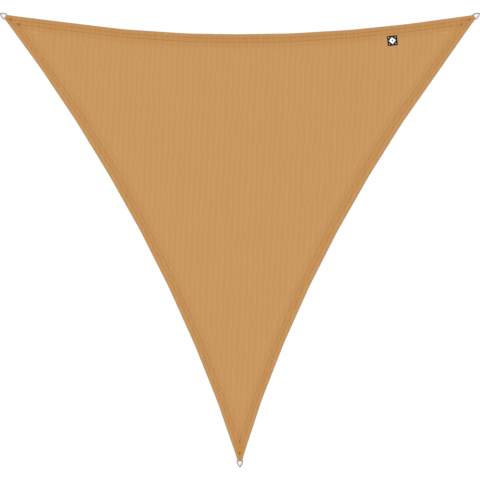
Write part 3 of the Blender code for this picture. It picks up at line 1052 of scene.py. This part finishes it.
steel = polished_steel()
bent = bent_wire()
tip_sine = RING_HALF_BASE / math.hypot(RING_HALF_BASE, RING_HEIGHT)
tip_reach = RING_HEIGHT - TIP_BEND / tip_sine + TIP_BEND
tip_drop = math.asin((FOLD_RADIUS - WIRE_RADIUS) / tip_reach)
for name, corner in zip(("ring_left", "ring_bottom", "ring_right"), corners):
    sharp = [(-RING_HALF_BASE, 0.0, 0.0), (RING_HALF_BASE, 0.0, 0.0), (0.0, RING_HEIGHT, 0.0)]
    ring = grow(name + "_wire", line_mesh(name, [sharp], True), bent, {
        "Base bend": BASE_BEND, "Tip bend": TIP_BEND, "Tip from": 0.5 * RING_HEIGHT,
        "Wire radius": WIRE_RADIUS, "Steel": steel})
    heading = math.atan2(-corner.inward[1], -corner.inward[0]) - math.pi / 2
    bar = Vector((*(corner.bar + plan_shift), FOLD_RADIUS))
    turned = Matrix.Rotation(heading, 4, "Z") @ Matrix.Rotation(-tip_drop, 4, "X")
    ring.data.transform(Matrix.Translation(bar) @ turned)
    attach(ring, "root")
    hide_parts(name)


# ---- Label -----------------------------------------------------------------
# A small square label, woven in black with a pale pattern of lozenges, its
# edges folded under and sewn down all round on the hem's inner edge.

LABEL_SIZE = 0.075
LABEL_SHARE = 0.1832        # place of its middle along the top edge, from the right
LABEL_INSET = 0.075
LABEL_PLY = 0.0010
LABEL_GAP = 0.0003
LABEL_STEPS = 40
LABEL_CROWDING = 0.98       # the nearer to 1, the closer its points stand towards its edges
LABEL_ROUND = 0.0012
RIM_HEIGHT = 0.45           # heights of its rim and its seam, against one layer
RIM_RISE = 0.75
SEAM_SINK = 0.35
SEAM_HEIGHT = 0.85
SEAM_SPREAD = 0.0012
SEAM_STATIONS = 16
LABEL_SEAM = 0.0040         # from the label's edge to its stitches
LABEL_BLACK = (0.006, 0.005, 0.004)
LABEL_PALE = (0.90, 0.89, 0.86)
THREAD_BLACK = (0.02, 0.02, 0.022)
PICK = 0.00075              # width of one woven thread
WEAVE_RELIEF = 0.0002
LOZENGE = 0.0265
LOZENGE_HEART = 0.0065
PIP = 0.0038
PIP_PLACE = (0.0245, 0.0245, 0.0)


def label_places(flat):
    """Places in the plan of places on the flat label, across to the right and up to the cloth's edge."""
    share = np.array([LABEL_SHARE])
    inward = edges[2].normal(share)[0]
    along = np.array((-inward[1], inward[0]))
    middle = edges[2].places(share)[0] + inward * (LABEL_INSET + 0.5 * LABEL_SIZE)
    return middle - np.outer(flat[:, 0], along) - np.outer(flat[:, 1], inward)


def label_mesh():
    """The label as a thin cushion on the cloth. Each point keeps its place on the flat label."""
    steps = np.sin(np.linspace(-0.5, 0.5, LABEL_STEPS + 1) * math.pi * LABEL_CROWDING)
    steps *= 0.5 * LABEL_SIZE / steps[-1]
    across, up = np.meshgrid(steps, steps)
    flat = np.column_stack((across.ravel(), up.ravel()))
    plan = label_places(flat)
    under = section(plan)[0] + LABEL_GAP
    room = 0.5 * LABEL_SIZE - np.abs(flat).max(axis=1)
    seam = np.exp(-((room - LABEL_SEAM) / SEAM_SPREAD) ** 2)
    top = under + LABEL_PLY * (RIM_HEIGHT + RIM_RISE * round_over(room, LABEL_ROUND) - SEAM_SINK * seam)
    count = LABEL_STEPS + 1
    bm = bmesh.new()
    layers = []
    for heights in (under, top):
        points = np.column_stack((plan + plan_shift, heights))
        layers.append([bm.verts.new(point) for point in points])
    for row in range(LABEL_STEPS):
        for column in range(LABEL_STEPS):
            first = row * count + column
            square = (first, first + 1, first + count + 1, first + count)
            bm.faces.new([layers[1][i] for i in square])
            bm.faces.new([layers[0][i] for i in reversed(square)])
    bm.verts.index_update()
    rim = [side for side in bm.edges if len(side.link_faces) == 1 and side.verts[0].index < len(flat)]
    for side in rim:
        a, b = (vertex.index for vertex in side.verts)
        bm.faces.new([layers[0][a], layers[0][b], layers[1][b], layers[1][a]])
    bmesh.ops.recalc_face_normals(bm, faces=bm.faces)
    mesh = bpy.data.meshes.new("label_patch")
    bm.to_mesh(mesh)
    bm.free()
    mesh.shade_smooth()
    flat_place = np.column_stack((np.tile(flat, (2, 1)), np.zeros(2 * len(flat)))).astype(np.float32)
    mesh.attributes.new("flat_place", "FLOAT_VECTOR", "POINT").data.foreach_set("vector", flat_place.ravel())
    return mesh


def label_seam():
    """Places all round the label, a little in from its edge and on its face."""
    turns = (0.5 * LABEL_SIZE - LABEL_SEAM) * np.array([(-1, -1), (1, -1), (1, 1), (-1, 1), (-1, -1)])
    parts = np.linspace(0.0, 1.0, SEAM_STATIONS, endpoint=False)[:, None]
    flat = np.vstack([first + (last - first) * parts for first, last in zip(turns, turns[1:])])
    seam = on_cloth(label_places(flat), 0)
    seam[:, 2] += LABEL_GAP + LABEL_PLY * SEAM_HEIGHT
    return seam


def woven_label():
    """Black satin weave, with the pattern stepped to its threads."""
    made, tree, shader = finish("woven_label", Roughness=0.75, Specular_IOR_Level=0.15)
    flat = node(tree, "ShaderNodeAttribute", attribute_name="flat_place").outputs["Vector"]
    away = vector_calc(tree, "ABSOLUTE", vector_calc(tree, "SNAP", flat, (PICK, PICK, PICK)))
    from_pip = vector_calc(tree, "ABSOLUTE", vector_calc(tree, "SUBTRACT", away, PIP_PLACE))
    inside = []
    for place, size in ((away, LOZENGE), (away, LOZENGE_HEART), (from_pip, PIP)):
        split = parts_of(tree, place)
        inside.append(calc(tree, "LESS_THAN", calc(tree, "ADD", split["X"], split["Y"]), size))
    lozenge, heart, pip = inside
    pale = calc(tree, "MAXIMUM", calc(tree, "SUBTRACT", lozenge, heart), pip)
    fine = parts_of(tree, flat)
    weft, warp = (
        calc(tree, "SINE", calc(tree, "MULTIPLY", fine[way], 2 * math.pi / PICK)) for way in "YX")
    height = calc(tree, "MULTIPLY_ADD", weft, 0.3, calc(tree, "MULTIPLY_ADD", warp, 0.15, 0.45))
    height = calc(tree, "MULTIPLY_ADD", pale, 0.5, height)
    color = mixed(tree, pale, (*LABEL_BLACK, 1.0), (*LABEL_PALE, 1.0))
    # painted shade: the colour is darker where the woven threads lie lower
    shade = calc(tree, "MULTIPLY_ADD", height, 0.2, 0.85)
    dress(tree, shader,
          Base_Color=scaled(tree, color, shade), Normal=relief(tree, 0.7, WEAVE_RELIEF, height))
    return made


label = add_piece("label_patch", label_mesh())
label.data.materials.append(woven_label())
black_thread = thread_finish("black_thread", THREAD_BLACK)
label_stitches = grow("label_stitches", line_mesh("label_stitches", [label_seam()], True), stitch, {
    "Pitch": 0.0034, "Stitch length": 0.0026, "Thickness": 0.0006,
    "Flatness": 0.9, "Unevenness": 0.08, "Seed": 2, "Thread": black_thread})
for piece in (label, label_stitches):
    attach(piece, "root")
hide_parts("label")
